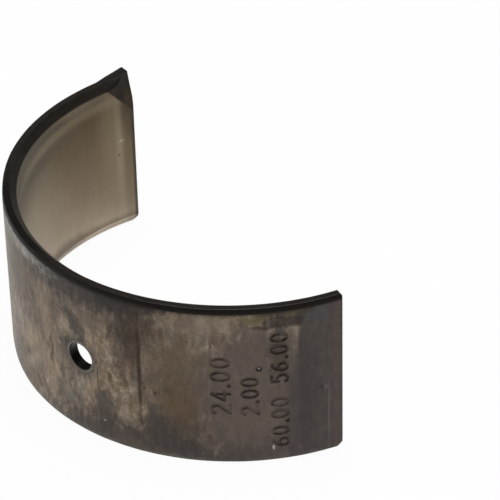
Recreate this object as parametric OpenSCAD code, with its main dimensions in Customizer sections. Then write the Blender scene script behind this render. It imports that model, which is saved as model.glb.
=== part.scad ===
// Half shell of a plain split bearing for a crankshaft journal.
// A bimetal strip is cut, bent to a half round, bored and faced. It is one solid: the lining is bonded
// to the steel back. The bearing axis is Z, the crown of the back points to -Y and the two parting
// faces look to +Y. The tang is on the -X end, at the upper side edge.

/* [Shell] */
// Bore of the housing that clamps the two halves
housing_bore = 60; // [50:0.5:70]
// How much wider than the housing the free shell springs
free_spread = 1.12; // [0.2:0.02:2]
// Wall thickness, steel back and lining together
wall = 2; // [1.8:0.1:3]
// Width from side edge to side edge
width = 24; // [20:0.5:34]

/* [Side edges] */
// Inner chamfer of the upper side edge, at 45 degrees
upper_chamfer = 0.9; // [0.3:0.1:1.1]
// Radial size of the inner chamfer of the lower side edge
lower_chamfer = 0.6; // [0.3:0.1:1.1]
// Height of the inner chamfer of the lower side edge
lower_chamfer_height = 1.3; // [0.4:0.1:2]
// Height of the tapered relief in the lining beside each side edge
edge_relief_height = 2.5; // [1:0.1:4]
// Depth of that relief where it meets the chamfer
edge_relief_depth = 0.08; // [0.02:0.01:0.15]
// Height of the rolled-over edge that shearing leaves along the back
roll_over_height = 0.8; // [0.2:0.1:1.5]
// Depth of the rolled-over edge at the side face
roll_over_depth = 0.15; // [0.05:0.05:0.3]

/* [Parting ends] */
// Length of the crush relief in the bore, measured from the parting face
crush_relief_length = 2.8; // [1.5:0.1:5]
// Depth of the crush relief at the parting face
crush_relief_depth = 0.06; // [0.02:0.01:0.2]
// Length of the chamfer on the inner edge of the parting face
end_chamfer_length = 0.65; // [0.2:0.05:1]
// Depth of that chamfer
end_chamfer_depth = 0.1; // [0.05:0.05:0.6]
// Corner cut off the lower end of each parting face, at 45 degrees
lower_corner = 0.7; // [0.2:0.1:1.2]
// Corner cut off the upper end of the parting face that has no tang
upper_corner = 0.3; // [0.1:0.1:1.2]

/* [Oil hole] */
// Diameter of the oil hole
oil_hole_d = 3.8; // [2:0.1:8]
// Angle from the crown to the hole, towards the end without the tang
oil_hole_angle = 21.5; // [-60:0.5:60]
// Height of the hole over the middle of the width
oil_hole_offset = -0.2; // [-5:0.1:5]
// Radial growth of the dished mouth in the bore
oil_hole_dish = 0.8; // [0.2:0.1:1.2]
// Depth of the dished mouth
oil_hole_dish_depth = 0.5; // [0.2:0.1:0.9]
// Break of the hole's edge on the back
oil_hole_break = 0.1; // [0.05:0.05:0.6]

/* [Tang] */
// Width of the tang down the parting face
tang_width = 6; // [4:0.1:9]
// Length of the tang's ramp along the back
tang_length = 5; // [3:0.1:6]
// Height of the tang over the back, at the parting face
tang_height = 1.4; // [0.6:0.1:2]
// Radius of the lower corner of the tang's outline
tang_corner_r = 2; // [0.5:0.1:2.5]
// Break on the tang's upper edge
tang_break = 0.2; // [0.1:0.1:0.8]
// Length of the punched dimple behind the tang, along the side edge
dimple_length = 5.4; // [3.5:0.1:6.5]
// Depth of the dimple in the corner
dimple_depth = 1.6; // [0.8:0.1:2.2]

/* [Hidden] */

$fn = 180;
// Overshoot of a cutting solid past the face that it cuts
over = 1;
// Depth of the dimple's shallow flat, as a share of the dimple's depth
shallow_depth = 0.5;
// Length and height of the dimple's steeper flat, as a share of the shallow one's
steep_reach = 0.72;
// Steel back as it looks after use
back_colour = [0.38, 0.35, 0.32];

// The free shell keeps the arc length of a half round in its housing
outer_r = (housing_bore + free_spread) / 2;
inner_r = outer_r - wall;
span = 180 * housing_bore / (housing_bore + free_spread);
end_angle = (180 - span) / 2;
top_z = width / 2;
relief_r = inner_r + edge_relief_depth;

// Angle and drop of an arc length measured on a circle from a parting face
function arc_angle(length, r) = length / r * 180 / PI;
function arc_drop(length, r) = r * (1 - cos(arc_angle(length, r)));

// Places children at one parting end: X runs out along the face, Y runs into the arc
module at_end(with_tang) {
    if (with_tang) rotate([0, 0, 180 + end_angle]) children();
    else rotate([0, 0, -end_angle]) mirror([0, 1, 0]) children();
}

// Section of the wall, with its chamfers, the lining's edge reliefs and the rolled-over back
module wall_section() {
    polygon([
        [inner_r, -top_z + lower_chamfer_height + edge_relief_height],
        [relief_r, -top_z + lower_chamfer_height],
        [relief_r + lower_chamfer, -top_z],
        [outer_r - roll_over_depth, -top_z],
        [outer_r, -top_z + roll_over_height],
        [outer_r, top_z - roll_over_height],
        [outer_r - roll_over_depth, top_z],
        [relief_r + upper_chamfer, top_z],
        [relief_r, top_z - upper_chamfer],
        [inner_r, top_z - upper_chamfer - edge_relief_height],
    ]);
}

module bent_strip() {
    rotate([0, 0, 180 + end_angle]) rotate_extrude(angle = span) wall_section();
}

// Crush relief: the bore's own round, swung out at the parting face so that its depth runs evenly to nothing
module crush_relief() {
    reach = arc_angle(crush_relief_length, inner_r);
    lean = atan((crush_relief_depth + arc_drop(crush_relief_length, inner_r)) / (inner_r * sin(reach)));
    translate([inner_r + crush_relief_depth, 0, -top_z - over]) rotate([0, 0, lean - reach / 2])
        translate([-inner_r, 0, 0]) cylinder(r = inner_r, h = width + 2 * over);
}

// Bevel on the inner edge of the parting face
module end_bevel() {
    translate([inner_r + crush_relief_depth + end_chamfer_depth, 0, 0])
        rotate([0, 0, atan(end_chamfer_depth / end_chamfer_length)])
            translate([-wall, -over, -top_z - over]) cube([wall, wall + over, width + 2 * over]);
}

// Corner cut through the wall where a side edge meets the parting face
module corner_cut(size, upper) {
    mirror([0, 0, upper ? 0 : 1]) translate([inner_r - over, size, top_z]) rotate([45, 0, 0])
        translate([0, -width / 2, 0]) cube([wall + tang_height + 2 * over, width, wall]);
}

// Drilled hole through the crown's side, dished in the bore and broken on the back
module oil_hole() {
    hole_r = oil_hole_d / 2;
    dish_slope = oil_hole_dish / oil_hole_dish_depth;
    translate([0, 0, oil_hole_offset]) rotate([0, 0, oil_hole_angle - 90]) rotate([0, 90, 0]) {
        translate([0, 0, inner_r - over]) cylinder(r = hole_r, h = wall + 2 * over);
        translate([0, 0, inner_r - over]) cylinder(
            r1 = hole_r + oil_hole_dish + over * dish_slope,
            r2 = hole_r,
            h = over + oil_hole_dish_depth
        );
        translate([0, 0, outer_r - oil_hole_break])
            cylinder(r1 = hole_r, r2 = hole_r + oil_hole_break + over, h = oil_hole_break + over);
    }
}

// Outline of the tang seen from outside: square at the face and the side edge, round at the lower corner
module tang_outline() {
    square([tang_length - tang_corner_r, tang_width]);
    translate([0, tang_corner_r]) square([tang_length, tang_width - tang_corner_r]);
    translate([tang_length - tang_corner_r, tang_corner_r]) circle(r = tang_corner_r);
}

// Lug that the punch drives out of the back: a ramp that rises to the parting face
module tang_lug() {
    foot = arc_angle(tang_length, outer_r);
    root_r = outer_r - wall / 2;
    ramp = atan((tang_height + arc_drop(tang_length, outer_r)) / (outer_r * sin(foot)));
    difference() {
        intersection() {
            translate([0, 0, top_z - tang_width]) linear_extrude(tang_width) polygon([
                [root_r, 0],
                [outer_r + tang_height, 0],
                [outer_r * cos(foot), outer_r * sin(foot)],
                [root_r * cos(foot), root_r * sin(foot)],
            ]);
            translate([root_r - over, 0, top_z - tang_width]) rotate([90, 0, 90])
                linear_extrude(wall + tang_height + 2 * over) tang_outline();
        }
        translate([outer_r + tang_height, 0, top_z - tang_break]) rotate([0, 0, ramp]) rotate([0, -45, 0])
            translate([0, -tang_length, -tang_width]) cube([wall, 3 * tang_length, 2 * tang_width]);
    }
}

// One flat of the punched dimple, sloping from a depth in the corner to the crease across it
module dimple_flat(length, height, depth) {
    along = atan((depth + arc_drop(length, inner_r)) / length);
    down = atan(depth / height * cos(along));
    translate([inner_r + depth, 0, top_z]) rotate([0, down, along])
        translate([-2 * depth, -2 * over, -2 * height])
            cube([2 * depth, length + 4 * over, 2 * height + 2 * depth]);
}

// Dimple left in the bore behind the tang: a shallow flat, then a steeper one nearer the corner
module tang_dimple() {
    dimple_flat(dimple_length, tang_width, dimple_depth * shallow_depth);
    dimple_flat(dimple_length * steep_reach, tang_width * steep_reach, dimple_depth);
}

module bearing_shell() {
    color(back_colour) difference() {
        union() {
            bent_strip();
            at_end(with_tang = true) tang_lug();
        }
        for (with_tang = [true, false]) at_end(with_tang) {
            crush_relief();
            end_bevel();
            corner_cut(lower_corner, upper = false);
        }
        at_end(with_tang = false) corner_cut(upper_corner, upper = true);
        at_end(with_tang = true) tang_dimple();
        oil_hole();
    }
}

bearing_shell();
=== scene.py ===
"""Half shell of a plain split bearing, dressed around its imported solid.

The shell is made as the real one is: a flat bimetal strip is trimmed, punched and stamped, and is then bent
to a half round. Lengths are in millimetres unless a name says otherwise, and the bend turns them into metres.
"""

import logging
import math
from collections.abc import Sequence
from dataclasses import dataclass
from enum import IntEnum
from itertools import product

import bmesh
import bpy
import numpy as np
from bmesh.types import BMesh, BMLayerItem, BMVert
from bpy.types import Material, Mesh, Node, NodeSocket, NodeTree, Object
from mathutils import Matrix, Vector


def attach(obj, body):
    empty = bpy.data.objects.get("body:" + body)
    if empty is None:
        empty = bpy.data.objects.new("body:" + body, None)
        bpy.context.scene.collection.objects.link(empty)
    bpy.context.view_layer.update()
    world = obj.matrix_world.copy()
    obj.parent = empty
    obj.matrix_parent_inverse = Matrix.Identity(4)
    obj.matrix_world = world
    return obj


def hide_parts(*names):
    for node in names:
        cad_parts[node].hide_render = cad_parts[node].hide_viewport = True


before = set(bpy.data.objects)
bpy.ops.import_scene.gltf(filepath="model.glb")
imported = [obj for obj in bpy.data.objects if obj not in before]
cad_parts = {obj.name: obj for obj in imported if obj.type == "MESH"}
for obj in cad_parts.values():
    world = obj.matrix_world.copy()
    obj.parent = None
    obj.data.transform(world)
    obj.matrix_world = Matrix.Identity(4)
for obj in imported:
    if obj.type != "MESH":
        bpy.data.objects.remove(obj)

LOG = logging.getLogger("bearing_shell")
METRES = 0.001
BODY = "root"
NODE = "bearing_shell"
STRIP = "strip"
STAMP = "stamp"
SURFACE = "surface"
MATH = "ShaderNodeMath"
VECTOR_MATH = "ShaderNodeVectorMath"
MAP_RANGE = "ShaderNodeMapRange"
SEPARATE = "ShaderNodeSeparateXYZ"
NOISE = "ShaderNodeTexNoise"
NOISE_MIDDLE = 0.5
PHOSPHATE = "#49413c"
TOLERANCE = 1e-4
SQUARE = ((0, 0), (1, 0), (1, 1), (0, 1))
# Where the crown of the back lies, round the bearing axis
CROWN_DEGREES = 270.0
# Points along each bow of a stamped number
BOW_POINTS = 20

# A node stands for its first output wherever it is linked
Link = Node | NodeSocket
# Two values, and what is given at each of them
Band = tuple[float, float, float, float]
# A place along the arc and across the width
Spot = tuple[float, float]


class Surface(IntEnum):
    """Which finish a face of the shell carries."""

    BACK = 0
    LINING = 1
    EDGE = 2


def linear(hex_colour: str) -> tuple[float, float, float, float]:
    """Turns an sRGB hex colour into linear light.

    Args:
        hex_colour: Six hex digits after a hash sign.

    Returns:
        Linear red, green and blue, and an alpha of one.
    """
    parts = [int(hex_colour[i:i + 2], 16) / 255 for i in (1, 3, 5)]
    rgb = [p / 12.92 if p <= 0.04045 else ((p + 0.055) / 1.055) ** 2.4 for p in parts]
    return rgb[0], rgb[1], rgb[2], 1.0


def add_node(tree: NodeTree, kind: str, inputs: Sequence | dict = (), **settings: object) -> Node:
    """Adds a node with its settings and fills its inputs.

    Args:
        tree: The shader or geometry tree that gets the node.
        kind: Blender's name for the node type.
        inputs: What the inputs get, in order or by index or name: plain values, sockets or nodes to link.
        settings: Properties of the node.

    Returns:
        The new node.
    """
    node = tree.nodes.new(kind)
    for name, value in settings.items():
        setattr(node, name, value)
    keyed = inputs if isinstance(inputs, dict) else dict(enumerate(inputs))
    for key, value in keyed.items():
        given = value.outputs[0] if isinstance(value, Node) else value
        if isinstance(given, NodeSocket):
            tree.links.new(given, node.inputs[key])
        else:
            node.inputs[key].default_value = given
    return node


def add_object(name: str, data: bpy.types.ID) -> Object:
    """Links a new object to the scene.

    Args:
        name: Name of the object.
        data: Its mesh, camera or lamp.

    Returns:
        The object, at the origin.
    """
    added = bpy.data.objects.new(name, data)
    bpy.context.scene.collection.objects.link(added)
    return added


def empty_material(name: str) -> Material:
    """Makes a material with an empty tree.

    Args:
        name: Name of the real material.

    Returns:
        The material.
    """
    material = bpy.data.materials.new(name)
    material.use_nodes = True
    material.node_tree.nodes.clear()
    return material


def new_tree(name: str, inputs: dict[str, str]) -> NodeTree:
    """Makes a geometry tree with named inputs.

    Args:
        name: Name of the tree.
        inputs: Kind of each input, after the geometry.

    Returns:
        The tree, still empty.
    """
    tree = bpy.data.node_groups.new(name, "GeometryNodeTree")
    for label, kind in {"Geometry": "Geometry", **inputs}.items():
        tree.interface.new_socket(label, in_out="INPUT", socket_type="NodeSocket" + kind)
    tree.interface.new_socket("Geometry", in_out="OUTPUT", socket_type="NodeSocketGeometry")
    return tree


def apply_tree(strip: Object, tree: NodeTree, values: dict[str, object]) -> None:
    """Adds a tree to the strip as a modifier, with its inputs set by identifier.

    Args:
        strip: The strip's object.
        tree: The tree.
        values: Values of its named inputs.
    """
    modifier = strip.modifiers.new(tree.name, "NODES")
    modifier.node_group = tree
    for item in tree.interface.items_tree:
        if item.in_out == "INPUT" and item.name in values:
            modifier[item.identifier] = values[item.name]


def summed(tree: NodeTree, base: Link | float, *parts: tuple[Link, Link | float]) -> Link:
    """Adds values to a base, each by its share.

    Args:
        tree: The material's tree.
        base: What the sum starts from.
        parts: Values and their shares.

    Returns:
        The sum.
    """
    for value, share in parts:
        base = add_node(tree, MATH, (value, share, base), operation="MULTIPLY_ADD")
    return base


def faded(tree: NodeTree, *fades: tuple[Link, Band]) -> Link:
    """Multiplies the shares that several values give.

    Args:
        tree: The material's tree.
        fades: Values, and the band from which each one's share is read.

    Returns:
        The product.
    """
    whole = 1.0
    for value, band in fades:
        share = add_node(tree, MAP_RANGE, (value, *band))
        whole = add_node(tree, MATH, (share, whole), operation="MULTIPLY")
    return whole


def apart(tree: NodeTree, value: Link, place: float) -> Link:
    """Distance of a value from a place.

    Args:
        tree: The material's tree.
        value: The value.
        place: The place.

    Returns:
        The distance, never below zero.
    """
    ahead = add_node(tree, MATH, (value, place), operation="SUBTRACT")
    return add_node(tree, MATH, (ahead,), operation="ABSOLUTE")


def ramp(tree: NodeTree, value: Link, stops: Sequence[tuple[float, str]]) -> Link:
    """Turns a value into a colour.

    Args:
        tree: The material's tree.
        value: The value, on any scale.
        stops: Rising values and their colours.

    Returns:
        The colour.
    """
    low, high = stops[0][0], stops[-1][0]
    share = add_node(tree, MAP_RANGE, (value, low, high))
    node = add_node(tree, "ShaderNodeValToRGB", (share,))
    elements = node.color_ramp.elements
    elements[0].color = linear(stops[0][1])
    elements[1].color = linear(stops[-1][1])
    for place, colour in stops[1:-1]:
        elements.new((place - low) / (high - low)).color = linear(colour)
    return node


def divided(values: Sequence[float], *spans: tuple[float, float]) -> list[float]:
    """Continues a rising list of values.

    Args:
        values: The list so far.
        spans: The next value that has to be in it, and the widest gap that may stay before that one.

    Returns:
        The longer list.
    """
    longer = list(values)
    for key, widest in spans:
        start = longer[-1]
        count = max(1, math.ceil((key - start) / widest - TOLERANCE))
        longer += [start + (key - start) * (n + 1) / count for n in range(count)]
    return longer


def fillet(distance: np.ndarray, radius: np.ndarray | float) -> np.ndarray:
    """Drop of a rounded edge.

    Args:
        distance: Distance from the edge, square to it.
        radius: Radius of the rounding.

    Returns:
        How far the surface lies under the sharp corner.
    """
    inside = np.clip(radius - distance, 0.0, radius)
    return radius - np.sqrt(np.maximum(radius ** 2 - inside ** 2, 0.0))


@dataclass(frozen=True)
class Mark:
    """A line of plain size numbers that is stamped into the back, reading upwards."""

    text: str
    place: Spot
    size: float
    depth: float = 0.2
    advance: float = 0.88
    point_advance: float = 0.4

    @staticmethod
    def glyph(sign: str) -> list[list[Spot]]:
        """Strokes of one sign, in a box of height one.

        Args:
            sign: A digit, a point or a space.

        Returns:
            The strokes as lists of points.
        """
        def bow(x: float, y: float, wide: float, high: float, first: float, last: float) -> list[Spot]:
            """Part of an ellipse, in degrees."""
            turns = np.radians(np.linspace(first, last, BOW_POINTS))
            return [(x + wide * math.cos(a), y + high * math.sin(a)) for a in turns]

        shapes = {
            "0": [bow(0.28, 0.5, 0.26, 0.5, 0, 360)],
            "2": [bow(0.28, 0.73, 0.26, 0.27, 165, -35) + [(0.02, 0.0), (0.56, 0.0)]],
            "4": [[(0.42, 0.0), (0.42, 1.0), (0.0, 0.3), (0.58, 0.3)]],
            "5": [[(0.52, 1.0), (0.1, 1.0), (0.06, 0.56)] + bow(0.26, 0.33, 0.28, 0.33, 125, -145)],
            "6": [bow(0.28, 0.3, 0.26, 0.3, 0, 360), bow(0.62, 0.3, 0.6, 0.7, 180, 105)],
            ".": [bow(0.08, 0.05, 0.04, 0.04, 0, 360)],
            " ": [],
        }
        return shapes[sign]

    def strokes(self) -> Mesh:
        """Draws the line as wires on the flat strip.

        Returns:
            A mesh of edges, centred on the mark's place.
        """
        points, edges, pen = [], [], 0.0
        for sign in self.text:
            for line in self.glyph(sign):
                edges += [(len(points) + n, len(points) + n + 1) for n in range(len(line) - 1)]
                points += [(pen + x, y) for x, y in line]
            pen += self.point_advance if sign == "." else self.advance
        middle = np.mean([np.min(points, axis=0), np.max(points, axis=0)], axis=0)
        placed = [
            (self.place[0] - (y - middle[1]) * self.size, 0.0, self.place[1] + (x - middle[0]) * self.size)
            for x, y in points
        ]
        mesh = bpy.data.meshes.new("strokes")
        mesh.from_pydata(placed, edges, [])
        return mesh


@dataclass
class BearingShell:
    """The half shell: its sizes in millimetres, and how it is made from a flat strip.

    A point of the strip is given by its arc length from the tang end, measured on the back, by its height
    over the back, which is below zero in the wall, and by its place across the width.
    """

    housing_bore: float = 60.0
    free_spread: float = 1.12
    wall: float = 2.0
    width: float = 24.0
    upper_chamfer: float = 0.9
    lower_chamfer: float = 0.6
    lower_chamfer_height: float = 1.3
    edge_relief_height: float = 2.5
    edge_relief_depth: float = 0.08
    # The roll-over fades further down the back than the band beside the upper edge reaches, which takes the
    # edge finish and its painted shade
    shaded_rim_band: float = 0.8
    roll_over_depth: float = 0.12
    roll_over_fade: float = 1.4
    roll_over_waver: float = 0.12
    waves: tuple[tuple[float, float, float], ...] = ((0.5, 0.9, 0.0), (0.3, 2.3, 1.2), (0.2, 5.1, 0.5))
    crush_relief_length: float = 2.8
    crush_relief_depth: float = 0.06
    end_chamfer_length: float = 0.65
    end_chamfer_depth: float = 0.1
    lower_corner: float = 0.7
    upper_corner: float = 0.3
    corner_reach: float = 6.0
    edge_round: float = 0.07
    end_round: float = 0.06
    hole_radius: float = 1.9
    hole_angle: float = 21.5
    hole_offset: float = -0.2
    hole_dish: float = 0.8
    hole_dish_depth: float = 0.5
    hole_break: float = 0.1
    tang_width: float = 6.0
    tang_length: float = 5.0
    tang_height: float = 1.4
    tang_corner: float = 2.0
    # The step round the lug: how wide it is, and how much of that lies outside the lug's outline
    step_width: float = 0.2
    step_outside: float = 0.05
    # Extra roundings on the lug, and how fast the roll-over gives way to it
    lug_round: float = 0.12
    lug_end_round: float = 0.16
    lug_clearance: float = 3.0
    tip_lift: float = 0.24
    tip_reach: float = 1.8
    tip_lean: float = 0.7
    dimple_length: float = 5.4
    dimple_depth: float = 1.6
    shallow_depth: float = 0.5
    steep_reach: float = 0.72
    crease_setback: float = 0.186
    # Division of the strip: distances from an end, a side edge and the tang's step, and the widest cells
    end_steps: tuple[float, ...] = (0.0, 0.03, 0.08, 0.15, 0.3, 0.5, 0.68, 0.8)
    edge_steps: tuple[float, ...] = (0.0, 0.015, 0.05, 0.12, 0.25, 0.4, 0.6, 0.76, 0.84)
    tang_steps: tuple[float, ...] = (-0.1, -0.03, 0.04, 0.11, 0.2, 0.4)
    layers: tuple[float, ...] = (0.0, 0.04, 0.15, 0.4, 0.6, 0.85, 0.96, 1.0)
    end_face: float = 0.02
    bend_gap: float = 0.05
    bend_lead: float = 0.03
    tang_zone: float = 5.8
    tang_cell: float = 0.25
    tang_row: float = 0.4
    plain_zone: float = 3.2
    plain_cell: float = 0.3
    before_plain: float = 0.7
    back_cell: float = 0.8
    back_row: float = 0.6
    relief_row: float = 0.7
    hole_block: float = 4.0
    hole_cell: float = 0.5
    hole_blend: tuple[float, ...] = (0.7, 0.4, 0.15)
    stamp_block: tuple[float, float, float, float] = (76.0, 88.0, -10.6, 9.4)
    stamp_cell: float = 0.6
    stamp_cuts: int = 6
    stamp_stroke: float = 0.1
    stamp_soft: float = 0.13
    stamp_lip: float = 0.06
    # The stamps were struck unevenly: size of a lighter patch, and the force read from its noise
    blow_cell: float = 2.5
    blow_detail: float = 2.0
    blow_force: Band = (0.38, 0.58, 0.5, 1.0)
    marks: tuple[Mark, ...] = (
        Mark("24.00", (78.3, 0.2), 2.4),
        Mark("2.00", (82.0, -1.5), 2.1),
        Mark(".", (83.2, 2.8), 6.5, 0.3),
        Mark("60.00 56.00", (85.8, -0.9), 2.1),
    )

    def __post_init__(self) -> None:
        """Works out the sizes that follow from the others."""
        self.outer = (self.housing_bore + self.free_spread) / 2
        self.inner = self.outer - self.wall
        self.arc = math.pi * self.housing_bore / 2
        self.half = self.width / 2
        self.start = math.pi + (math.pi - self.arc / self.outer) / 2
        self.hole_arc = (math.radians(CROWN_DEGREES + self.hole_angle) - self.start) * self.outer
        steepness = math.hypot(1 / self.dimple_length, 1 / self.tang_width)
        along, across = 1 / self.dimple_length / steepness, 1 / self.tang_width / steepness
        foot = across * (self.half - self.tang_width) + self.crease_setback
        self.crease = (-along, across, -foot)

    def stations(self) -> list[float]:
        """Arc lengths at which the strip is divided, closest at the ends."""
        near = self.end_steps
        values = divided(
            near,
            (self.crush_relief_length * self.outer / self.inner, self.tang_cell),
            (self.tang_zone, self.tang_cell),
            (self.hole_arc - self.hole_block, self.back_cell),
            (self.hole_arc + self.hole_block, self.hole_cell),
            (self.stamp_block[0], self.back_cell),
            (self.stamp_block[1], self.stamp_cell),
            (self.arc - self.plain_zone, self.before_plain),
            (self.arc - near[-1], self.plain_cell),
        )
        return values + [self.arc - v for v in reversed(near[:-1])]

    def rows(self) -> list[float]:
        """Places across the width at which the strip is divided, closest at the edges and the tang's step."""
        near = self.edge_steps
        lower, upper = self.lower_chamfer_height - self.half, self.half - self.upper_chamfer
        step = self.half - self.tang_width
        values = divided(
            [v - self.half for v in near],
            (lower - self.bend_gap, self.relief_row),
            (lower + self.bend_gap, self.relief_row),
            (lower + self.edge_relief_height, self.relief_row),
            (self.hole_offset - self.hole_block, self.back_row),
            (self.hole_offset + self.hole_block, self.hole_cell),
            (step + self.tang_steps[0], self.back_row),
        )
        values = divided(
            values + [step + v for v in self.tang_steps[1:]],
            (upper - self.edge_relief_height, self.tang_row),
            (upper - self.bend_gap, self.tang_row),
        )
        return values + [upper + self.bend_lead] + [self.half - v for v in reversed(near)]

    def bore(self, arc: np.ndarray, across: np.ndarray) -> np.ndarray:
        """Height of the bore side over the back, with its chamfers, reliefs and the dimple behind the tang.

        Args:
            arc: Arc lengths from the tang end.
            across: Places across the width.

        Returns:
            Heights, below zero.
        """
        shrink = self.inner / self.outer
        tang_end, plain_end = arc * shrink, (self.arc - arc) * shrink
        nearest = np.minimum(tang_end, plain_end)
        low, high = self.lower_chamfer_height - self.half, self.half - self.upper_chamfer
        relief = self.edge_relief_depth
        cut = np.interp(
            across,
            [-self.half, low, low + self.edge_relief_height, high - self.edge_relief_height, high, self.half],
            [relief + self.lower_chamfer, relief, 0.0, 0.0, relief, relief + self.upper_chamfer],
        )
        cut = np.maximum(cut, self.crush_relief_depth * (1 - nearest / self.crush_relief_length))
        bevel = self.end_chamfer_depth * (1 - nearest / self.end_chamfer_length)
        cut = np.maximum(cut, self.crush_relief_depth + bevel)
        deepest = self.crease[1] * self.half + self.crease[2]
        within = (self.crease[0] * tang_end + self.crease[1] * across + self.crease[2]) / deepest
        steep = 1 - (1 - within) / self.steep_reach
        dimple = self.dimple_depth * np.maximum(self.shallow_depth * within, steep)
        return np.maximum(cut, dimple) - self.wall

    def tang(self, arc: np.ndarray, across: np.ndarray) -> np.ndarray:
        """Height of the punched lug over the back.

        Args:
            arc: Arc lengths from the tang end.
            across: Places across the width.

        Returns:
            Heights, zero away from the lug.
        """
        share = np.clip(arc / self.tang_length, 0.0, 1.0)
        sag = self.tang_length ** 2 / (2 * self.outer)
        ramp_height = (1 - share) * (self.tang_height - sag * share)
        beyond = arc - (self.tang_length - self.tang_corner)
        below = self.half - self.tang_width + self.tang_corner - across
        outside = np.hypot(np.maximum(beyond, 0.0), np.maximum(below, 0.0))
        outside += np.minimum(np.maximum(beyond, below), 0.0)
        inside = np.clip((self.tang_corner - outside + self.step_outside) / self.step_width, 0.0, 1.0)
        return ramp_height * inside * inside * (3 - 2 * inside)

    def waver(self, arc: np.ndarray) -> np.ndarray:
        """Slow unevenness of a sheared edge, between about -1 and 1."""
        return sum(height * np.sin(arc * pitch + phase) for height, pitch, phase in self.waves)

    def back(self, arc: np.ndarray, across: np.ndarray) -> np.ndarray:
        """Height of the back, with its rolled-over and rounded edges and the tang.

        Args:
            arc: Arc lengths from the tang end.
            across: Places across the width.

        Returns:
            Heights, zero on the plain back.
        """
        edge = self.half - np.abs(across)
        lug = self.tang(arc, across)
        lifted = np.clip(lug / self.tang_height, 0.0, 1.0) * (across > 0)
        fade = np.clip(1 - edge / self.roll_over_fade, 0.0, 1.0)
        rolled = self.roll_over_depth * (1 + self.roll_over_waver * self.waver(arc)) * fade ** 2
        rolled = rolled * np.clip(1 - self.lug_clearance * lifted, 0.0, 1.0)
        rounding = fillet(edge, self.edge_round + self.lug_round * lifted)
        ends = fillet(np.minimum(arc, self.arc - arc), self.end_round + self.lug_end_round * lifted)
        return lug - rolled - rounding - ends

    def skin(self, arc: np.ndarray, across: np.ndarray, through: np.ndarray) -> np.ndarray:
        """Flat coordinates of points on the strip's skin.

        Args:
            arc: Arc lengths from the tang end.
            across: Places across the width.
            through: Zero at the bore side and one at the back.

        Returns:
            One row of arc length, height and place across for each point.
        """
        low = np.clip(self.lower_corner - (across + self.half), 0.0, None)
        high = np.clip(self.upper_corner - (self.half - across), 0.0, None)
        at_tang = low * np.clip(1 - arc / self.corner_reach, 0.0, 1.0)
        at_plain = np.maximum(low, high) * np.clip(1 - (self.arc - arc) / self.corner_reach, 0.0, 1.0)
        height = (1 - through) * self.bore(arc, across) + through * self.back(arc, across)
        near = np.clip(1 - arc / self.tip_reach, 0.0, 1.0) ** 2
        near = near * np.clip((across - self.half) / self.tip_reach + 1, 0.0, 1.0)
        lift = self.tip_lift * (1 - self.tip_lean * through) * near
        return np.column_stack([arc + at_tang - at_plain, height, across + lift])

    def surface(self, arc: float, across: float, through: float) -> Surface:
        """Finish of a face.

        Args:
            arc: Arc length of the face's middle.
            across: Place of its middle across the width.
            through: Zero at the bore side and one at the back.

        Returns:
            The finish.
        """
        from_top = self.half - across
        if 0 < through < 1 or min(arc, self.arc - arc) < self.end_face:
            return Surface.EDGE
        if through == 1:
            return Surface.EDGE if from_top < self.shaded_rim_band else Surface.BACK
        return Surface.EDGE if from_top < self.upper_chamfer else Surface.LINING

    def numbered(self, place: Vector) -> bool:
        """Whether a point of the flat strip lies on the back where the numbers go."""
        low, high, bottom, top = self.stamp_block
        within = low - TOLERANCE < place.x < high + TOLERANCE and bottom < place.z < top
        return within and place.y > -TOLERANCE

    def hole_rings(self) -> list[tuple[float, float, Surface]]:
        """Rings of the oil hole, from the back to the bore.

        Points close on either side of each corner round it a little.

        Returns:
            Radius and height of each ring, and the finish of the faces before it.
        """
        r, back, bore = self.hole_radius, self.hole_break, self.wall
        dish = self.hole_dish_depth
        return [
            # Broken edge on the back
            (r + back + 0.06, 0.0, Surface.BACK),
            (r + back, -0.015, Surface.BACK),
            (r + back / 2, -back / 2, Surface.BACK),
            (r + 0.015, -back, Surface.BACK),
            # Drilled wall
            (r, -back - 0.04, Surface.EDGE),
            (r, -back - 0.12, Surface.EDGE),
            (r, -bore / 2, Surface.EDGE),
            (r, dish - bore + 0.12, Surface.EDGE),
            (r, dish - bore + 0.04, Surface.EDGE),
            # Dished mouth in the bore
            (r + 0.06, dish - bore - 0.05, Surface.EDGE),
            (r + self.hole_dish / 2, dish / 2 - bore, Surface.EDGE),
            (r + self.hole_dish - 0.08, 0.05 - bore, Surface.EDGE),
            (r + self.hole_dish + 0.02, 0.008 - bore, Surface.EDGE),
            (r + self.hole_dish + 0.12, -bore, Surface.LINING),
        ]

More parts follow.
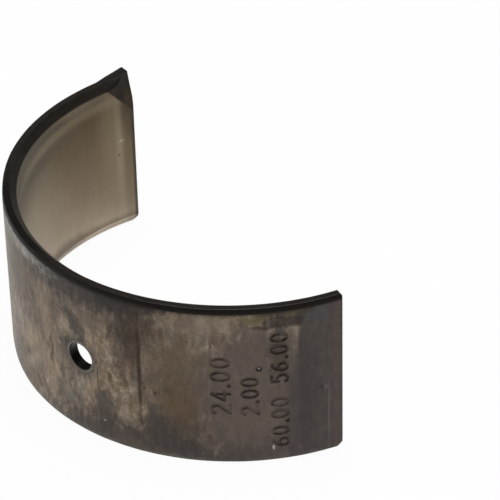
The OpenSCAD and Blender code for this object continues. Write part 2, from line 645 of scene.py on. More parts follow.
    def flat_mesh(self) -> Mesh:
        """Makes the trimmed and punched strip, still flat.

        Returns:
            A closed mesh in strip coordinates, with the finish of each face.
        """
        scales = [np.array(values) for values in (self.stations(), self.rows(), self.layers)]
        last = [len(values) - 1 for values in scales]
        grid = [
            key for key in product(*(range(n + 1) for n in last))
            if any(k in (0, n) for k, n in zip(key, last))
        ]
        index = {key: n for n, key in enumerate(grid)}
        points = self.skin(*(values[keys] for values, keys in zip(scales, np.array(grid).T)))
        build = bmesh.new()
        finish = build.faces.layers.int.new(SURFACE)
        verts = [build.verts.new(p) for p in points]
        in_hole = [
            np.abs((values[:-1] + values[1:]) / 2 - centre) < self.hole_block
            for values, centre in zip(scales, (self.hole_arc, self.hole_offset))
        ]
        for axis in range(3):
            first, second = (a for a in range(3) if a != axis)
            for level, p, q in product((0, last[axis]), range(last[first]), range(last[second])):
                if axis == 2 and in_hole[0][p] and in_hole[1][q]:
                    continue
                corners = []
                for dp, dq in SQUARE:
                    key = [level] * 3
                    key[first], key[second] = p + dp, q + dq
                    corners.append(tuple(key))
                middle = [np.mean([values[c[n]] for c in corners]) for n, values in enumerate(scales)]
                face = build.faces.new([verts[index[c]] for c in corners])
                face[finish] = int(self.surface(*middle))
        columns, lines = (np.flatnonzero(cells) for cells in in_hole)
        i0, i1, j0, j1 = columns[0], columns[-1] + 1, lines[0], lines[-1] + 1
        rim = [(i, j0) for i in range(i0, i1)] + [(i1, j) for j in range(j0, j1)]
        rim += [(i, j1) for i in range(i1, i0, -1)] + [(i0, j) for j in range(j1, j0, -1)]
        outer, inner = ([verts[index[(i, j, level)]] for i, j in rim] for level in (last[2], 0))
        self.punch(build, finish, outer, inner)
        edges = [edge for edge in build.edges if all(self.numbered(v.co) for v in edge.verts)]
        bmesh.ops.subdivide_edges(build, edges=edges, cuts=self.stamp_cuts, use_grid_fill=True)
        bmesh.ops.recalc_face_normals(build, faces=build.faces)
        mesh = bpy.data.meshes.new("strip")
        build.to_mesh(mesh)
        build.free()
        return mesh

    def punch(self, build: BMesh, finish: BMLayerItem, outer: list[BMVert], inner: list[BMVert]) -> None:
        """Joins the openings left in the back and the bore by the rings of the oil hole.

        Args:
            build: The strip.
            finish: Layer that holds the finish of each face.
            outer: Vertices round the opening in the back.
            inner: Vertices round the opening in the bore, in the same order.
        """
        turn = [math.atan2(v.co.z - self.hole_offset, v.co.x - self.hole_arc) for v in outer]

        def circle(radius: float, height: float) -> list[Vector]:
            """Points of a drilled circle at one height over the back."""
            swing = [math.asin(radius * math.cos(a) / (self.outer + height)) * self.outer for a in turn]
            return [
                Vector((self.hole_arc + s, height, self.hole_offset + radius * math.sin(a)))
                for s, a in zip(swing, turn)
            ]

        rings = self.hole_rings()
        first, last = circle(*rings[0][:2]), circle(*rings[-1][:2])
        between = [
            ([c.lerp(v.co, share) for c, v in zip(first, outer)], Surface.BACK)
            for share in self.hole_blend
        ]
        between += [(circle(radius, height), surface) for radius, height, surface in rings]
        between += [
            ([c.lerp(v.co, share) for c, v in zip(last, inner)], Surface.LINING)
            for share in reversed(self.hole_blend)
        ]
        loops = [(outer, Surface.BACK)]
        loops += [([build.verts.new(p) for p in places], surface) for places, surface in between]
        loops.append((inner, Surface.LINING))
        for (before, _), (after, surface) in zip(loops, loops[1:]):
            for n in range(len(turn)):
                m = (n + 1) % len(turn)
                face = build.faces.new([before[n], before[m], after[m], after[n]])
                face[finish] = int(surface)

    def stamp_tree(self) -> NodeTree:
        """Makes the tree that presses a line of numbers into the flat strip.

        Returns:
            The tree, with inputs for the strokes, their depth and width, their soft edge and the raised lip.
        """
        tree = new_tree("stamp_numbers", {
            "Strokes": "Object", "Depth": "Float", "Stroke": "Float", "Edge": "Float", "Lip": "Float",
        })
        given = add_node(tree, "NodeGroupInput").outputs
        wires = add_node(tree, "GeometryNodeObjectInfo", (given["Strokes"],)).outputs["Geometry"]
        near = add_node(tree, "GeometryNodeProximity", (wires,), target_element="EDGES").outputs["Distance"]
        wide = add_node(tree, MATH, (given["Stroke"], given["Edge"]), operation="ADD")
        wider = add_node(tree, MATH, (wide, given["Edge"]), operation="ADD")
        pressed, raised = (
            add_node(tree, MAP_RANGE, (near, *reach, 1.0, 0.0), interpolation_type="SMOOTHSTEP")
            for reach in ((given["Stroke"], wide), (wide, wider))
        )
        place = add_node(tree, "GeometryNodeInputPosition")
        uneven = add_node(tree, NOISE,
                          {"Vector": place, "Scale": 1 / self.blow_cell, "Detail": self.blow_detail})
        force = add_node(tree, MAP_RANGE, (uneven, *self.blow_force))
        blow = add_node(tree, MATH, (pressed, force), operation="MULTIPLY")
        deep = add_node(tree, MATH, (given["Depth"], given["Lip"]), operation="ADD")
        sunk = add_node(tree, MATH, (blow, deep), operation="MULTIPLY")
        lip = add_node(tree, MATH, (raised, given["Lip"]), operation="MULTIPLY")
        rise = add_node(tree, MATH, (lip, sunk), operation="SUBTRACT")
        offset = add_node(tree, "ShaderNodeCombineXYZ", {1: rise})
        before = add_node(tree, "GeometryNodeInputNamedAttribute", (STAMP,), data_type="FLOAT")
        most = add_node(tree, MATH, (before, blow), operation="MAXIMUM")
        marked = add_node(tree, "GeometryNodeStoreNamedAttribute", {0: given["Geometry"], 2: STAMP, 3: most},
                          data_type="FLOAT", domain="POINT")
        moved = add_node(tree, "GeometryNodeSetPosition", {0: marked, 3: offset})
        add_node(tree, "NodeGroupOutput", (moved,))
        return tree

    def bend_tree(self, finishes: dict[Surface, Material]) -> NodeTree:
        """Makes the tree that bends the flat strip round the bearing axis.

        Args:
            finishes: Material of each kind of surface.

        Returns:
            The tree, with inputs for the outer radius, the angle of the tang end and the scale.
        """
        tree = new_tree("bend_strip", {"Outer radius": "Float", "Tang end": "Float", "Scale": "Float"})
        given = add_node(tree, "NodeGroupInput").outputs
        place = add_node(tree, "GeometryNodeInputPosition")
        kept = add_node(tree, "GeometryNodeStoreNamedAttribute", {0: given["Geometry"], 2: STRIP, 3: place},
                        data_type="FLOAT_VECTOR", domain="POINT")
        along, height, across = add_node(tree, SEPARATE, (place,)).outputs
        turn = add_node(tree, MATH, (along, given["Outer radius"]), operation="DIVIDE")
        angle = add_node(tree, MATH, (turn, given["Tang end"]), operation="ADD")
        radius = add_node(tree, MATH, (height, given["Outer radius"]), operation="ADD")
        parts = []
        for wave in ("COSINE", "SINE"):
            swing = add_node(tree, MATH, (angle,), operation=wave)
            parts.append(add_node(tree, MATH, (swing, radius), operation="MULTIPLY"))
        bent = add_node(tree, "ShaderNodeCombineXYZ", (*parts, across))
        scaled = add_node(tree, VECTOR_MATH, {0: bent, "Scale": given["Scale"]}, operation="SCALE")
        shape = add_node(tree, "GeometryNodeSetPosition", {0: kept, 2: scaled})
        # The bend mirrors the strip, so its faces are turned to look outwards again
        for step in ("GeometryNodeFlipFaces", "GeometryNodeSetShadeSmooth", "GeometryNodeRealizeInstances"):
            shape = add_node(tree, step, (shape,))
        kind = add_node(tree, "GeometryNodeInputNamedAttribute", (SURFACE,), data_type="INT")
        for surface, material in finishes.items():
            chosen = add_node(tree, "FunctionNodeCompare", {2: kind, 3: int(surface)},
                              data_type="INT", operation="EQUAL")
            shape = add_node(tree, "GeometryNodeSetMaterial", (shape, chosen, material))
        add_node(tree, "NodeGroupOutput", (shape,))
        return tree

    def build(self, finishes: dict[Surface, Material]) -> Object:
        """Stamps and bends the strip, and gives it to the frame.

        Args:
            finishes: Material of each kind of surface.

        Returns:
            The finished shell.
        """
        strip = add_object("flat_strip", self.flat_mesh())
        stamp = self.stamp_tree()
        wires = [bpy.data.objects.new("strokes", mark.strokes()) for mark in self.marks]
        for mark, wire in zip(self.marks, wires):
            apply_tree(strip, stamp, {
                "Strokes": wire,
                "Depth": mark.depth,
                "Stroke": self.stamp_stroke,
                "Edge": self.stamp_soft,
                "Lip": self.stamp_lip,
            })
        apply_tree(strip, self.bend_tree(finishes), {
            "Outer radius": self.outer,
            "Tang end": self.start,
            "Scale": METRES,
        })
        evaluated = strip.evaluated_get(bpy.context.evaluated_depsgraph_get())
        mesh = bpy.data.meshes.new_from_object(evaluated)
        for scrap in [strip, *wires]:
            bpy.data.objects.remove(scrap)
        mesh.name = "shell"
        shell = add_object("shell", mesh)
        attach(shell, BODY)
        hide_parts(NODE)
        return shell


@dataclass(frozen=True)
class Coat:
    """A colour that lies where a value is high, or where it is low if `low` is above `high`."""

    colour: str
    low: float
    high: float
    most: float

    def lay(self, tree: NodeTree, value: Link, under: Link) -> NodeSocket:
        """Lays the colour over another.

        Args:
            tree: The material's tree.
            value: What decides where it lies.
            under: Colour below.

        Returns:
            The mixed colour.
        """
        mask = add_node(tree, MAP_RANGE, (value, self.low, self.high, 0.0, self.most),
                        interpolation_type="SMOOTHSTEP")
        mixed = add_node(tree, "ShaderNodeMix", {0: mask, 6: under, 7: linear(self.colour)}, data_type="RGBA")
        return mixed.outputs[2]


@dataclass(frozen=True)
class Stain:
    """A soft ragged patch on the strip: rubbed, stained or coated steel."""

    place: Spot
    reach: Spot
    colour: str
    strength: float
    ragged: float = 0.6
    soft: float = 0.35
    steady: bool = False
    turn: float = 0.0

    def lay(self, tree: NodeTree, strip: Link, ragged: Link, under: Link) -> NodeSocket:
        """Lays the patch over a colour.

        Args:
            tree: The material's tree.
            strip: Strip coordinates in millimetres, wandering or steady.
            ragged: Noise about zero that frays the edge.
            under: Colour below the patch.

        Returns:
            The colour with the patch on it.
        """
        centre = (self.place[0], 0.0, self.place[1])
        shrink = (1 / self.reach[0], 0.0, 1 / self.reach[1])
        away = add_node(tree, VECTOR_MATH, (strip, centre), operation="SUBTRACT")
        turned = add_node(tree, "ShaderNodeVectorRotate", {"Vector": away, "Angle": math.radians(self.turn)},
                          rotation_type="Y_AXIS")
        scaled = add_node(tree, VECTOR_MATH, (turned, shrink), operation="MULTIPLY")
        radius = add_node(tree, VECTOR_MATH, (scaled,), operation="LENGTH").outputs["Value"]
        frayed = summed(tree, radius, (ragged, self.ragged))
        return Coat(self.colour, 1 + self.soft, 1 - self.soft, self.strength).lay(tree, frayed, under)


@dataclass(frozen=True)
class Grain:
    """Noise about zero whose cells have a real size. A shift makes one grain differ from another."""

    along: float
    across: float
    detail: float
    rough: float
    shift: float = 0.0

    def draw(self, tree: NodeTree, strip: Link) -> Node:
        """Adds the noise to a material.

        Args:
            tree: The material's tree.
            strip: Strip coordinates in millimetres.

        Returns:
            The node that gives the noise.
        """
        cells = (1 / self.along, 1.0, 1 / self.across)
        scaled = add_node(tree, VECTOR_MATH, (strip, cells, (self.shift,) * 3),
                          operation="MULTIPLY_ADD")
        noise = add_node(tree, NOISE,
                         {"Vector": scaled, "Scale": 1.0, "Detail": self.detail, "Roughness": self.rough})
        return add_node(tree, MATH, (noise, NOISE_MIDDLE), operation="SUBTRACT")


@dataclass(frozen=True)
class Finish:
    """A metal finish of the shell, whose pattern is drawn in strip coordinates."""

    name: str

    def make(self) -> Material:
        """Builds the material.

        Returns:
            The finished material.
        """
        material = empty_material(self.name)
        tree = material.node_tree
        strip = add_node(tree, "ShaderNodeAttribute", attribute_name=STRIP, attribute_type="GEOMETRY")
        shader = add_node(tree, "ShaderNodeBsdfPrincipled", self.pattern(tree, strip.outputs["Vector"]))
        add_node(tree, "ShaderNodeOutputMaterial", {"Surface": shader})
        return material

    def pattern(self, tree: NodeTree, strip: NodeSocket) -> dict[str, Link | float]:
        """Draws the finish; each kind of finish has its own pattern.

        Args:
            tree: The material's tree.
            strip: Strip coordinates in millimetres.

        Returns:
            What the sockets of the shader get.
        """
        raise NotImplementedError


@dataclass(frozen=True)
class SteelBack(Finish):
    """Low-carbon steel, rolled and then phosphated: a dark mauve coat that use has rubbed to brown steel.

    The stains lie in layers, from the lowest to the highest. Shares say how much of each grain shows.
    """

    tones: tuple[tuple[float, str], ...] = (
        (0.1, "#493c2e"), (0.38, "#6b5c4a"), (0.55, "#857564"), (0.72, "#9b8b79"), (0.95, "#b5a898"),
    )
    grey: Coat = Coat("#77756a", 0.0, 0.16, 0.45)
    rose: Coat = Coat("#8d776a", 0.0, 0.16, 0.4)
    dirt: Coat = Coat("#241f1b", 0.19, 0.28, 0.55)
    bare: Coat = Coat("#b3a795", 0.3, 0.45, 0.5)
    grime: Coat = Coat("#241f1b", 0.0, 1.0, 0.62)
    blotch: Grain = Grain(1.4, 2.2, 8.0, 0.66)
    streak: Grain = Grain(0.2, 3.4, 3.0, 0.6)
    tint: Grain = Grain(1.8, 4.0, 6.0, 0.62, 7.3)
    flush: Grain = Grain(1.5, 4.0, 6.0, 0.62, 13.1)
    fray: Grain = Grain(0.75, 1.7, 6.0, 0.66, 21.7)
    grit: Grain = Grain(0.24, 0.26, 2.0, 0.55)
    fleck: Grain = Grain(0.15, 0.45, 2.0, 0.5, 31.0)
    scuffs: Grain = Grain(1.6, 0.14, 4.0, 0.65, 41.0)
    scuffed: Stain = Stain((46.0, 10.5), (6.0, 0.9), "#aeaba3", 0.5, 5.5, 0.4)
    # Size of a bulge in a wandering outline, how far it wanders, and its noise
    bulge: float = 2.4
    wandering: float = 0.6
    bulge_detail: float = 6.0
    bulge_rough: float = 0.62
    middle_tone: float = 0.5
    blotch_share: float = 2.2
    streak_share: float = 0.28
    grit_share: float = 0.4
    mottle_streak: float = 0.15
    # Along the arc, the worn patch is the liveliest, and the numbers and the tang's half are quieter
    lively: tuple[Band, ...] = ((65.0, 73.0, 1.5, 0.7), (47.0, 57.0, 1.6, 1.0), (32.0, 44.0, 0.5, 1.0))
    # Across the width, the lower numbers hold less grime
    grimy: Band = (-7.0, 2.0, 0.45, 1.0)
    metallic: float = 0.7
    roughness: float = 0.46
    roughness_blotch: float = 0.3
    relief_grit: float = 0.8
    bump_strength: float = 0.35
    bump_height: float = 0.04
    stains: tuple[Stain, ...] = (
        # Rubbed and stained steel, up to the oil hole and past it
        Stain((14.0, -1.0), (21.0, 14.0), "#62564b", 0.8, 0.6, 0.4),
        Stain((45.4, 6.4), (4.6, 4.6), "#514736", 0.6, 1.2, 0.5),
        Stain((46.2, -8.5), (4.4, 4.5), "#5a4526", 0.6, 1.6, 0.6),
        Stain((49.4, 4.0), (5.6, 7.0), "#5a4b38", 0.5, 1.2, 0.6),
        Stain((48.4, -6.3), (3.4, 0.9), "#a59780", 0.45, 1.6, 0.7, True, 40.0),
        Stain((51.2, 4.4), (1.1, 3.2), "#97826f", 0.5, 2.0, 0.6),
        Stain((46.8, -2.8), (3.0, 2.0), "#a8957a", 0.55, 1.8, 0.6),
        Stain((52.6, -3.0), (1.7, 6.0), "#98836d", 0.5, 2.0, 0.6),
        Stain((53.1, -2.0), (0.35, 2.8), "#43331f", 0.7, 1.8, 0.6),
        Stain((50.4, 1.0), (0.8, 3.4), "#5a4b3c", 0.5, 2.0, 0.6, False, 25.0),
        Stain((55.2, -1.5), (0.8, 5.5), "#564a3d", 0.45, 2.0, 0.6),
        Stain((55.6, 3.6), (0.9, 1.2), "#a39481", 0.5, 1.8, 0.6),
        Stain((60.0, 7.6), (8.0, 2.6), "#51473c", 0.5, 1.2, 0.7),
        Stain((60.8, -1.0), (1.6, 7.5), "#8a7863", 0.4, 1.6, 0.6),
        Stain((61.4, -2.4), (0.1, 2.2), "#4d4032", 0.7, 0.8, 0.6, True),
        Stain((65.0, 4.6), (1.5, 4.6), "#51443a", 0.6, 1.6, 0.6),
        Stain((67.2, 7.6), (2.6, 3.4), "#2f2723", 0.65, 1.0, 0.6),
        Stain((58.4, -4.7), (1.1, 1.7), "#8b8777", 0.45, 2.0, 0.6),
        Stain((56.4, -7.6), (2.6, 2.4), "#4f4741", 0.5, 1.4, 0.6),
        Stain((56.0, -7.3), (0.9, 1.0), "#85826f", 0.4, 2.2, 0.6),
        # Brown and mauve fields, up to the numbers
        Stain((72.8, -1.0), (5.0, 9.5), "#5f5142", 0.85, 0.8, 0.5),
        Stain((73.2, -3.4), (2.4, 4.0), "#4f3a22", 0.4, 0.9, 0.6),
        Stain((83.2, -2.0), (7.6, 11.5), "#5c514b", 0.9, 0.5, 0.25),
        Stain((76.4, 9.6), (3.6, 1.8), "#7a6c60", 0.6, 1.2, 0.5),
        # Patches and a dark band towards the tang
        Stain((11.0, 4.0), (8.0, 3.0), "#51483f", 0.6, 1.8, 0.6),
        Stain((24.0, -5.0), (8.0, 3.4), "#51473e", 0.6, 2.0, 0.6),
        Stain((31.0, 3.0), (2.4, 8.0), "#867562", 0.5, 2.0, 0.6),
        Stain((2.6, 0.0), (3.6, 40.0), "#443e3b", 0.85, 0.4, 0.2, True),
        Stain((25.0, 13.4), (26.0, 3.4), PHOSPHATE, 0.8, 1.0, 0.35),
        Stain((22.0, -13.2), (24.0, 4.4), PHOSPHATE, 0.75, 1.0, 0.35),
        # Coat that is left along the side edges
        Stain((57.0, 14.2), (17.0, 5.9), "#3f3836", 0.9, 0.5, 0.2),
        Stain((65.2, 11.8), (5.0, 3.0), "#332e2a", 0.85, 0.9, 0.4),
        Stain((57.9, 4.6), (0.85, 3.0), "#403c3a", 0.75, 1.2, 0.6, True, 35.0),
        Stain((55.9, 1.1), (0.9, 0.7), "#3c3632", 0.7, 1.6, 0.6),
        Stain((66.6, -13.6), (15.5, 5.5), PHOSPHATE, 0.9, 0.7, 0.22),
        Stain((62.2, -7.6), (1.8, 3.6), PHOSPHATE, 0.85, 1.4, 0.4),
        Stain((69.9, -7.6), (2.0, 3.4), PHOSPHATE, 0.85, 1.4, 0.4),
        Stain((72.4, -8.2), (5.2, 2.6), "#3f3835", 0.6, 0.9, 0.6),
        Stain((65.7, -7.0), (1.1, 0.9), "#7e7c6d", 0.45, 2.0, 0.6),
        Stain((82.0, -13.0), (9.0, 4.2), "#463f3e", 0.65, 0.8, 0.5),
        # Dark line across the width
        Stain((66.7, 4.8), (0.95, 5.2), "#43352a", 0.8, 1.1, 0.6, True),
        Stain((67.7, 1.2), (0.3, 7.8), "#2d221a", 0.85, 1.1, 0.7, True),
        # Rings round the oil hole: dark rings, and a light ring that is a painted highlight on the hole's
        # edge
        Stain((58.6, -0.2), (3.0, 3.0), "#4a433d", 0.6, 1.0, 0.25, True),
        Stain((58.6, -0.2), (2.5, 2.5), "#453e39", 0.5, 0.7, 0.08, True),
        # Painted highlight round the edge of the oil hole
        Stain((58.6, -0.2), (2.24, 2.24), "#8d8984", 0.55, 0.6, 0.04, True),
        Stain((58.6, -0.2), (2.1, 2.1), "#3a3430", 0.7, 0.3, 0.03, True),
        # Dirt beside the numbers, and a dark band at the plain end
        Stain((85.9, 5.2), (1.4, 3.9), "#3f362f", 0.6, 2.2, 0.5),
        Stain((87.3, 5.6), (0.5, 4.4), "#6d6259", 0.5, 0.8, 0.5, True),
        Stain((88.2, -5.0), (1.8, 9.5), "#463f3d", 0.75, 0.5, 0.5, True),
        Stain((91.5, 0.0), (3.3, 40.0), "#433d3b", 0.9, 0.3, 0.16, True),
        Stain((90.9, 10.0), (1.6, 1.0), "#494c54", 0.5, 1.0, 0.7),
        Stain((92.3, -6.0), (0.1, 5.0), "#767069", 0.4, 1.0, 0.5, True),
        Stain((91.9, -1.5), (0.5, 0.35), "#6c665f", 0.45, 3.0, 0.6),
        Stain((91.2, -1.4), (0.35, 0.3), "#2c2826", 0.6, 2.0, 0.6),
        Stain((93.4, 0.0), (0.5, 40.0), "#594844", 0.5, 0.3, 0.5, True),
        # Smear over the numbers
        Stain((83.0, 10.3), (1.8, 0.8), "#6d6444", 0.55, 1.4, 0.5),
        Stain((86.6, 10.8), (3.4, 0.9), "#3d3429", 0.75, 1.0, 0.5),
        Stain((86.6, 9.6), (2.5, 0.8), "#332c28", 0.8, 1.8, 0.4),
        Stain((84.0, 9.0), (1.6, 0.25), "#332c28", 0.7, 1.4, 0.5),
        # The two side edges: painted shade along the upper one, and a painted highlight along the rolled
        # lower one
        # Painted shade along the upper side edge
        Stain((47.0, 12.0), (60.0, 1.1), "#1d1714", 0.85, 0.15, 0.42, True),
        # Painted highlight along the rolled lower edge
        Stain((56.0, -12.0), (36.0, 0.4), "#6c695c", 0.5, 1.8, 0.6),
        # Specks and nicks, and a painted highlight
        Stain((69.8, -2.0), (0.22, 0.25), "#2b2520", 0.6, 0.8, 0.5, True),
        Stain((68.4, -1.5), (0.14, 0.16), "#2b2520", 0.6, 0.8, 0.5, True),
        Stain((77.2, 6.3), (0.14, 0.16), "#2b2520", 0.7, 0.8, 0.5, True),
        Stain((62.2, -8.8), (0.17, 0.12), "#b0aba1", 0.8, 0.5, 0.5, True),
        # Painted highlight: a glint in the middle of the stamped point
        Stain((83.2, 2.8), (0.11, 0.11), "#d8d2c6", 0.9, 0.2, 0.4, True),
        Stain((84.9, -9.9), (0.16, 0.42), "#b9b5ac", 0.8, 1.6, 0.5, True),
    )

    def wander(self, tree: NodeTree, strip: NodeSocket) -> Node:
        """Makes strip coordinates that wander, so that a patch laid in them gets an uneven outline.

        Args:
            tree: The material's tree.
            strip: Strip coordinates in millimetres.

        Returns:
            The wandering coordinates.
        """
        noise = add_node(tree, NOISE, {
            "Vector": strip,
            "Scale": 1 / self.bulge,
            "Detail": self.bulge_detail,
            "Roughness": self.bulge_rough,
        }).outputs["Color"]
        centred = add_node(tree, VECTOR_MATH, (noise, (NOISE_MIDDLE,) * 3), operation="SUBTRACT")
        # The noise stays within about a quarter of its middle
        reach = (4 * self.wandering, 0.0, 4 * self.wandering)
        return add_node(tree, VECTOR_MATH, (centred, reach, strip), operation="MULTIPLY_ADD")

    def pattern(self, tree: NodeTree, strip: NodeSocket) -> dict[str, Link | float]:
        """Draws the rubbed steel, its stains, dirt and bright flecks, its painted shade and highlights, and
        the grime in the numbers.

        Args:
            tree: The material's tree.
            strip: Strip coordinates in millimetres.

        Returns:
            What the sockets of the shader get.
        """
        waver = self.wander(tree, strip)
        blotch = self.blotch.draw(tree, waver)
        streak, fray, grit = (grain.draw(tree, strip) for grain in (self.streak, self.fray, self.grit))
        tone = summed(tree, self.middle_tone, (blotch, self.blotch_share), (streak, self.streak_share),
                      (grit, self.grit_share))
        colour = ramp(tree, tone, self.tones)
        colour = self.grey.lay(tree, self.tint.draw(tree, waver), colour)
        colour = self.rose.lay(tree, self.flush.draw(tree, waver), colour)
        for stain in self.stains:
            colour = stain.lay(tree, strip if stain.steady else waver, fray, colour)
        colour = self.scuffed.lay(tree, strip, self.scuffs.draw(tree, strip), colour)
        along, _, across = add_node(tree, SEPARATE, (strip,)).outputs
        lively = faded(tree, *((along, band) for band in self.lively))
        uneven = summed(tree, fray, (grit, self.grit_share), (streak, self.mottle_streak))
        mottle = summed(tree, 1.0, (uneven, lively))
        colour = add_node(tree, VECTOR_MATH, {0: colour, "Scale": mottle}, operation="SCALE")
        colour = self.dirt.lay(tree, grit, colour)
        fleck = add_node(tree, MATH, (self.fleck.draw(tree, strip), lively), operation="MULTIPLY")
        colour = self.bare.lay(tree, fleck, colour)
        stamped = add_node(tree, "ShaderNodeAttribute", attribute_name=STAMP, attribute_type="GEOMETRY")
        packed = faded(tree, (across, self.grimy))
        packed = add_node(tree, MATH, (stamped.outputs["Fac"], packed), operation="MULTIPLY")
        colour = self.grime.lay(tree, packed, colour)
        relief = summed(tree, blotch, (grit, self.relief_grit))
        bump = add_node(tree, "ShaderNodeBump", {
            "Strength": self.bump_strength, "Distance": self.bump_height * METRES, "Height": relief,
        })
        return {
            "Base Color": colour,
            "Metallic": self.metallic,
            "Roughness": summed(tree, self.roughness, (blotch, self.roughness_blotch)),
            "Normal": bump,
        }


@dataclass(frozen=True)
class BearingLining(Finish):
    """Aluminium-tin lining, bored to size: a satin taupe, painted lighter low on the wall as a painted
    reflection of the pale floor and darker towards the upper edge as painted shade.

    The dimple behind the tang is darkened nearly to black. Shares say how much of each grain shows.
    """

    shell: BearingShell
    # Tones from the lower edge up: their fall from light to dark is painted reflection of the floor below and
    # painted shade above
    tones: tuple[tuple[float, str], ...] = (
        (-12.0, "#ccc2b2"), (-11.75, "#bfb5a4"), (-11.45, "#8f8371"), (-11.15, "#bdb2a1"), (-10.9, "#ab9f8d"),
        (-10.65, "#7d705f"), (-10.3, "#8d806e"), (-9.7, "#a29684"), (-8.0, "#948774"), (-4.0, "#7c6e5b"),
        (0.0, "#70624e"), (4.0, "#635541"), (7.6, "#544735"), (8.2, "#574a38"), (8.8, "#695d4b"),
        (9.4, "#6e6351"), (10.2, "#584d3e"), (10.6, "#5a4f40"), (11.0, "#655a4a"),
    )
    # Along the arc, the tones and their painted shade climb the wall; across it, they do so in the upper part
    # alone
    shade_climb: Band = (10.0, 30.0, 0.0, 1.2)
    upper: Band = (-10.0, 6.0, 0.0, 1.0)
    cloud: Grain = Grain(5.0, 7.0, 4.0, 0.55)
    wipe: Grain = Grain(0.7, 9.0, 3.0, 0.5)
    fray: Grain = Grain(1.2, 2.4, 4.0, 0.6)
    # Lines of the boring tool, whose real feed of about 0.1 is too fine to show
    lines: Grain = Grain(30.0, 0.22, 2.0, 0.5)
    cloud_share: float = 0.6
    wipe_share: float = 0.15
    line_share: float = 0.12
    fray_share: float = 0.2
    # Amber oil stain round one place of the arc, as the share of blue that it takes away
    amber_place: float = 24.0
    amber: Band = (0.0, 18.0, 0.2, 0.0)
    warmth: tuple[float, float, float] = (1.03, 1.0, 0.97)
    dark_dimple: Coat = Coat("#241e18", 0.0, 0.3, 0.95)
    dark_dimple_fray: float = 0.3
    dimple: tuple[Stain, ...] = (
        Stain((0.9, 8.4), (0.7, 2.0), "#443829", 0.65, 0.8, 0.8),
        Stain((2.1, 9.7), (0.7, 0.6), "#211d12", 0.6, 0.8, 0.8),
    )
    metallic: float = 0.75
    roughness: float = 0.42
    roughness_cloud: float = 0.2
    bump_strength: float = 0.15
    bump_height: float = 0.02
    stains: tuple[Stain, ...] = (
        Stain((28.0, -4.5), (11.0, 8.0), "#ab9f91", 0.5, 0.4, 0.8),
        Stain((15.2, -10.4), (5.8, 1.2), "#665948", 0.75, 0.8, 0.7),
        Stain((3.4, 1.0), (2.6, 11.0), "#857863", 0.6, 0.5, 0.8),
        Stain((20.0, 10.2), (9.5, 0.7), "#3c3428", 0.5, 0.3, 0.7),
        Stain((24.0, 10.5), (6.0, 0.6), "#3a3226", 0.5, 0.3, 0.6),
        Stain((21.0, 6.8), (5.5, 1.0), "#483b2a", 0.55, 0.3, 0.6),
        Stain((10.0, 10.5), (3.6, 0.6), "#75695a", 0.5, 0.3, 0.6),
        Stain((0.2, 7.0), (2.0, 4.2), "#3b3025", 0.9, 0.5, 0.5),
        Stain((2.8, 0.5), (0.6, 7.0), "#9a8e7b", 0.45, 1.2, 0.8),
        Stain((2.4, 2.4), (0.5, 0.16), "#b8ae9d", 0.6, 2.2, 0.6),
        Stain((2.9, 0.2), (0.16, 0.2), "#3f352a", 0.7, 0.8, 0.5),
        Stain((1.2, 0.0), (0.8, 16.0), "#675b48", 0.5, 0.4, 0.7),
        Stain((0.0, 0.0), (0.55, 40.0), "#3a3229", 0.8, 0.2, 0.4),
        Stain((30.0, 11.1), (36.0, 0.2), "#211c16", 0.75, 0.2, 0.6),
    )

    def pattern(self, tree: NodeTree, strip: NodeSocket) -> dict[str, Link | float]:
        """Draws the bored lining with its painted shade and painted floor reflection, its stains and the
        darkened dimple.

        Args:
            tree: The material's tree.
            strip: Strip coordinates in millimetres.

        Returns:
            What the sockets of the shader get.
        """
        cloud, wipe, lines, fray = (
            grain.draw(tree, strip) for grain in (self.cloud, self.wipe, self.lines, self.fray)
        )
        along, _, across = add_node(tree, SEPARATE, (strip,)).outputs
        upper = faded(tree, (across, self.upper))
        # The painted shade climbs along the arc, mixed with a random cloud
        shade_climb_and_cloud = summed(tree, faded(tree, (along, self.shade_climb)), (cloud, self.cloud_share))
        colour = ramp(tree, summed(tree, across, (shade_climb_and_cloud, upper)), self.tones)
        for stain in self.stains:
            colour = stain.lay(tree, strip, fray, colour)
        amber = faded(tree, (apart(tree, along, self.amber_place), self.amber), (across, self.upper))
        red, green, most_blue = self.warmth
        blue = add_node(tree, MATH, (most_blue, amber), operation="SUBTRACT")
        aged = add_node(tree, "ShaderNodeCombineXYZ", (red, green, blue))
        colour = add_node(tree, VECTOR_MATH, (colour, aged), operation="MULTIPLY")
        mottle = summed(tree, 1.0, (wipe, self.wipe_share), (lines, self.line_share), (fray, self.fray_share))
        colour = add_node(tree, VECTOR_MATH, {0: colour, "Scale": mottle}, operation="SCALE")
        slope, rise, foot = self.shell.crease
        steepest = (slope * self.shell.inner / self.shell.outer, 0.0, rise)
        within = add_node(tree, VECTOR_MATH, (strip, steepest), operation="DOT_PRODUCT")
        within = add_node(tree, MATH, (within.outputs["Value"], foot), operation="ADD")
        # Darkens the dimple behind the tang nearly to black
        colour = self.dark_dimple.lay(tree, summed(tree, within, (fray, self.dark_dimple_fray)), colour)
        for stain in self.dimple:
            colour = stain.lay(tree, strip, fray, colour)
        bump = add_node(tree, "ShaderNodeBump", {
            "Strength": self.bump_strength, "Distance": self.bump_height * METRES, "Height": lines,
        })
        return {
            "Base Color": colour,
            "Metallic": self.metallic,
            "Roughness": summed(tree, self.roughness, (cloud, self.roughness_cloud)),
            "Normal": bump,
        }


